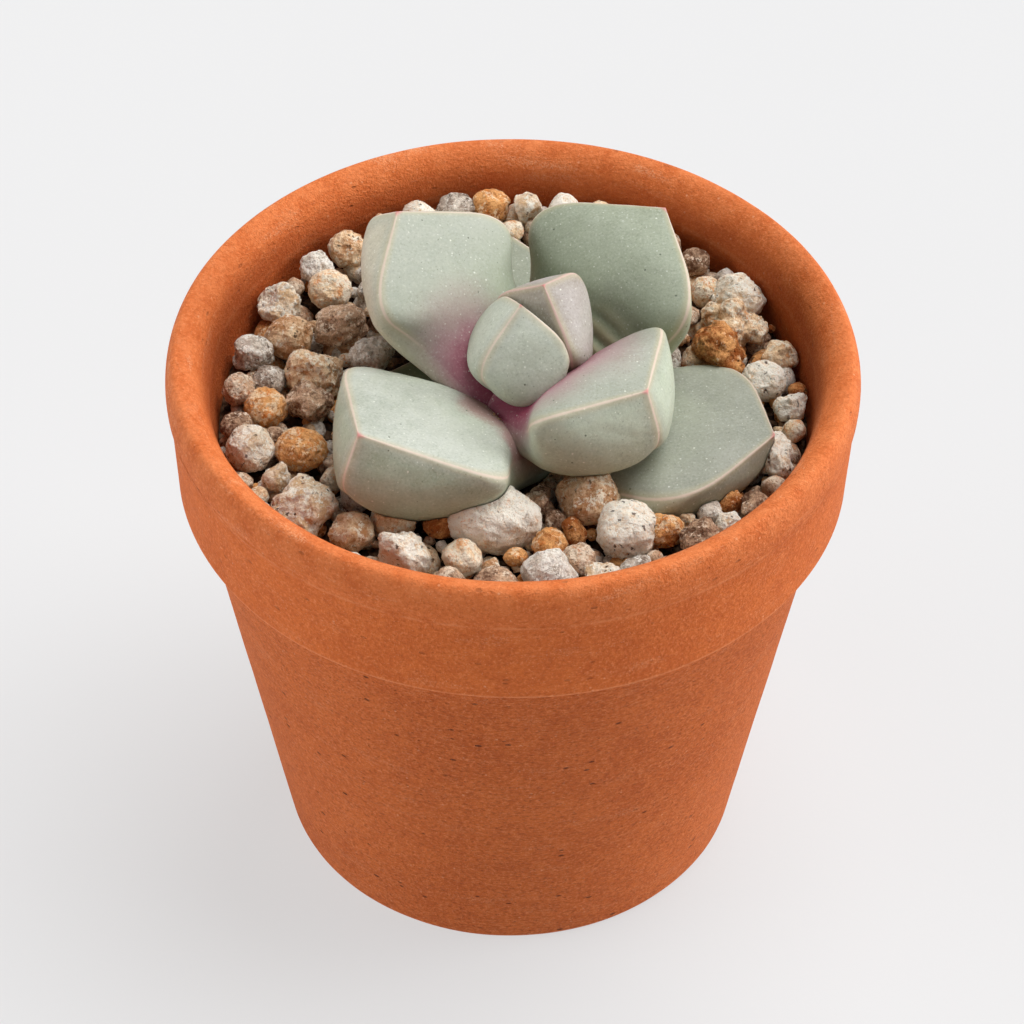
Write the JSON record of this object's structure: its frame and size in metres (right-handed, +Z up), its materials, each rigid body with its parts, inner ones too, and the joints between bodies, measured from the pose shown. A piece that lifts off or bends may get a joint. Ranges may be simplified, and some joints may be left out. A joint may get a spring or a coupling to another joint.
{
  "type": "potted lapidaria",
  "caption": "Small living-stone succulent: plump keeled grey-green leaves in crossed pairs rise through a pumice gravel dressing in a rolled-rim terracotta pot",
  "frame": {"origin": "on the pot's axis, at the plane of its foot", "axes": "+Z up along the pot's axis, +X to the viewer's right and -Y towards the viewer who sees the young leaves' slit run from upper left to lower right"},
  "size_m": [0.08, 0.08, 0.0803],
  "materials": {
    "terracotta": "matte",
    "potting_mix": "matte",
    "pumice": "matte",
    "root": "matte",
    "young_leaf": "satin",
    "upper_leaf": "satin",
    "lower_leaf": "satin"
  },
  "bodies": {
    "root": {"pot": "terracotta", "potting_mix": "potting_mix", "gravel": "pumice", "root": "root", "young_leaf_front": "young_leaf", "young_leaf_back": "young_leaf", "upper_leaf_left": "upper_leaf", "upper_leaf_right": "upper_leaf", "lower_leaf_front": "lower_leaf", "lower_leaf_back": "lower_leaf", "outer_leaf_right": "lower_leaf", "outer_leaf_left": "lower_leaf", "outer_leaf_back": "lower_leaf"}
  },
  "joints": []
}
